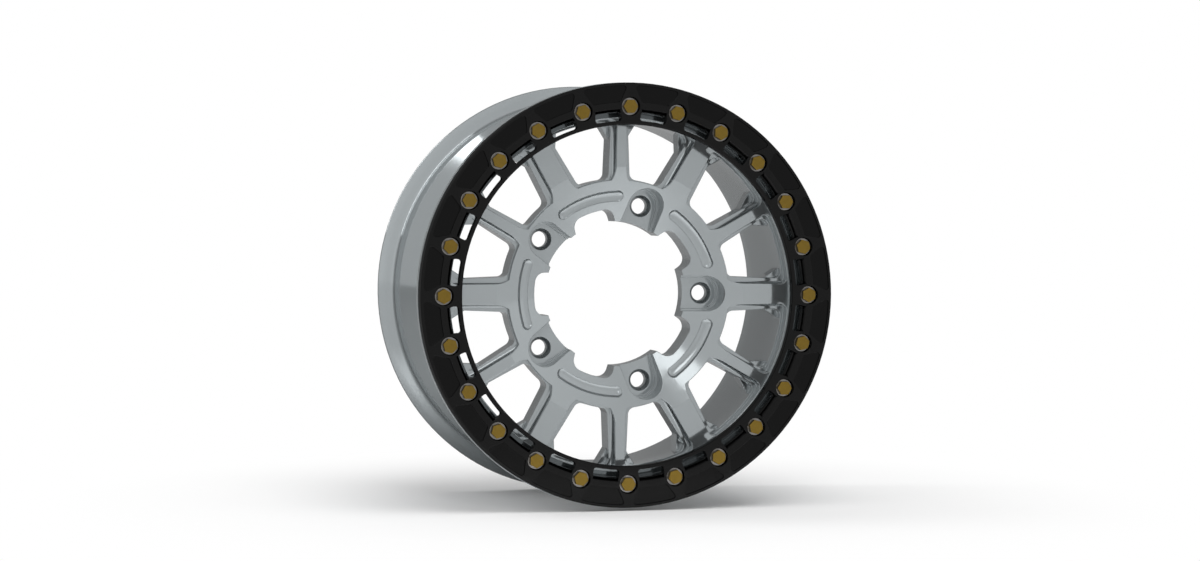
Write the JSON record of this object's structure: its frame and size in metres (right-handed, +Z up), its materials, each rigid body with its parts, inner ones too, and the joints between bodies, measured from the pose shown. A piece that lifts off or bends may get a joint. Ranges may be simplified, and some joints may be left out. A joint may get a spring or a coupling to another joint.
{
  "type": "beadlock wheel",
  "caption": "Alloy road wheel with a windowed spoked centre, lug pockets and a bolted outboard ring that clamps the tyre's bead against the rim.",
  "frame": {"origin": "centre of the lug circle on the hub mounting face", "axes": "+Y along the axle towards the inboard side, so the wheel faces -Y; +Z up, with the first lug towards +X"},
  "size_m": [0.4721, 0.2428, 0.4722],
  "materials": {
    "cast_alloy": "silver painted, gloss",
    "ring_black": "matte black anodised",
    "bolt_zinc": "yellow zinc plated steel",
    "washer_steel": "plain steel"
  },
  "bodies": {
    "root": {"wheel": "cast_alloy", "clamp_ring": "ring_black", "ring_bolts": "bolt_zinc", "ring_washers": "washer_steel"}
  },
  "joints": []
}
